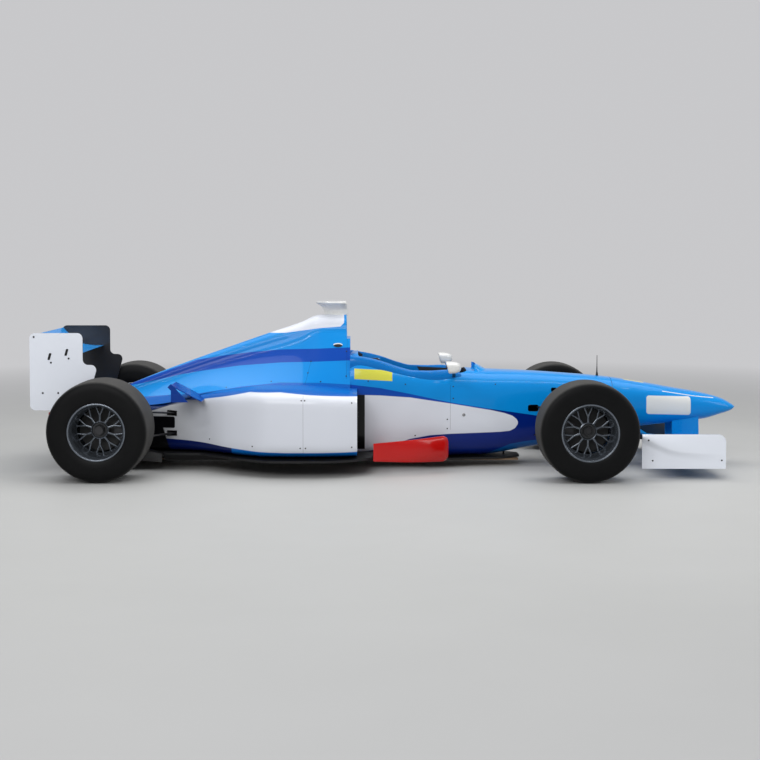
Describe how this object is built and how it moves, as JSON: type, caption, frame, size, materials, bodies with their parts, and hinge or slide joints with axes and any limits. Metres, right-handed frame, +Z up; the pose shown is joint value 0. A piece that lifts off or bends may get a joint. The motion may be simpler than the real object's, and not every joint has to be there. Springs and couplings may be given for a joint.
{
  "type": "open wheel racing car",
  "caption": "Open wheel single-seater racing car with wings front and rear, an open cockpit, sidepods, a tall air intake, slick tyres and working steering.",
  "frame": {"origin": "on the ground below the middle of the car's overall length, on its centreline", "axes": "+X forwards along the car, +Y to the car's left, +Z up"},
  "size_m": [4.707, 1.8, 1.1109],
  "materials": {
    "body_paint": "gloss light blue with dark blue, navy and white areas",
    "wing_white": "gloss white outside, black inside",
    "carbon": "satin black woven composite",
    "bare_black": "satin black",
    "board_red": "gloss red",
    "wing_blue": "gloss light blue",
    "plank_wood": "dense laminated board, matt",
    "magnesium": "satin dark grey wheel paint",
    "slick_tyre": "matt black rubber, grey scuffed tread",
    "brake_carbon": "matt dark disc",
    "upright_metal": "machined satin",
    "engine_metal": "cast matt",
    "gearbox_metal": "cast matt",
    "radiator_core": "fine dark fins",
    "seat_shell": "black composite shell",
    "padding": "dark padded cover",
    "screen": "tinted blue",
    "mirror_white": "gloss white shell",
    "lamp_red": "clear red lens",
    "steel_rod": "satin steel",
    "wheel_grip": "matt black grip"
  },
  "bodies": {
    "chassis": {"nose_cone": "body_paint", "monocoque": "body_paint", "engine_cover": "body_paint", "sidepod_left": "body_paint", "sidepod_right": "body_paint", "radiators": "radiator_core", "floor": "carbon", "plank": "plank_wood", "diffuser": "carbon", "engine_block": "engine_metal", "gearbox": "gearbox_metal", "crash_structure": "carbon", "rain_light": "lamp_red", "front_wing_planes": "wing_blue", "front_wing_endplates": "wing_white", "front_wing_pylons": "wing_blue", "rear_wing_planes": "wing_blue", "rear_wing_endplates": "wing_white", "front_wishbones": "bare_black", "rear_wishbones": "bare_black", "pushrods": "bare_black", "rear_uprights": "upright_metal", "seat": "seat_shell", "headrest": "padding", "windscreen": "screen", "mirrors": "mirror_white", "camera_pod": "mirror_white", "aerial": "bare_black", "bargeboards": "board_red", "winglets": "wing_blue"},
    "front_left_upright": {"front_upright_left": "upright_metal"},
    "front_right_upright": {"front_upright_right": "upright_metal"},
    "steering_rack": {"steering_rack": "steel_rod"},
    "steering_wheel": {"steering_wheel": "wheel_grip"},
    "front_left_wheel": {"tyre_front_left": "slick_tyre", "rim_front_left": "magnesium", "disc_front_left": "brake_carbon"},
    "front_right_wheel": {"tyre_front_right": "slick_tyre", "rim_front_right": "magnesium", "disc_front_right": "brake_carbon"},
    "rear_left_wheel": {"tyre_rear_left": "slick_tyre", "rim_rear_left": "magnesium", "disc_rear_left": "brake_carbon", "driveshaft_left": "steel_rod"},
    "rear_right_wheel": {"tyre_rear_right": "slick_tyre", "rim_rear_right": "magnesium", "disc_rear_right": "brake_carbon", "driveshaft_right": "steel_rod"}
  },
  "joints": [
    {"name": "steer_left", "type": "hinge", "parent": "chassis", "child": "front_left_upright", "pos_m": [1.2265, 0.65, 0.317], "axis": [0, 0, 1], "range_deg": [-14, 14]},
    {"name": "steer_right", "type": "hinge", "parent": "chassis", "child": "front_right_upright", "pos_m": [1.2265, -0.65, 0.317], "axis": [0, 0, 1], "range_deg": [-14, 14]},
    {"name": "rack_slide", "type": "slide", "parent": "chassis", "child": "steering_rack", "axis": [0, 1, 0], "range_m": [-0.0222, 0.0222]},
    {"name": "steering_wheel_turn", "type": "hinge", "parent": "chassis", "child": "steering_wheel", "pos_m": [0.3795, 0, 0.56], "axis": [-0.9781, 0, 0.2079], "range_deg": [-113, 113]},
    {"name": "spin_front_left", "type": "hinge", "parent": "front_left_upright", "child": "front_left_wheel", "pos_m": [1.2265, 0.75, 0.317], "axis": [0, 1, 0], "continuous": true},
    {"name": "spin_front_right", "type": "hinge", "parent": "front_right_upright", "child": "front_right_wheel", "pos_m": [1.2265, -0.75, 0.317], "axis": [0, 1, 0], "continuous": true},
    {"name": "spin_rear_left", "type": "hinge", "parent": "chassis", "child": "rear_left_wheel", "pos_m": [-1.8535, 0.71, 0.321], "axis": [0, 1, 0], "continuous": true},
    {"name": "spin_rear_right", "type": "hinge", "parent": "chassis", "child": "rear_right_wheel", "pos_m": [-1.8535, -0.71, 0.321], "axis": [0, 1, 0], "continuous": true}
  ],
  "couplings": [
    {"joint": "steer_right", "follows": "steer_left", "ratio": 1},
    {"joint": "rack_slide", "follows": "steer_left", "m_per_rad": 0.09},
    {"joint": "steering_wheel_turn", "follows": "steer_left", "ratio": 8}
  ]
}
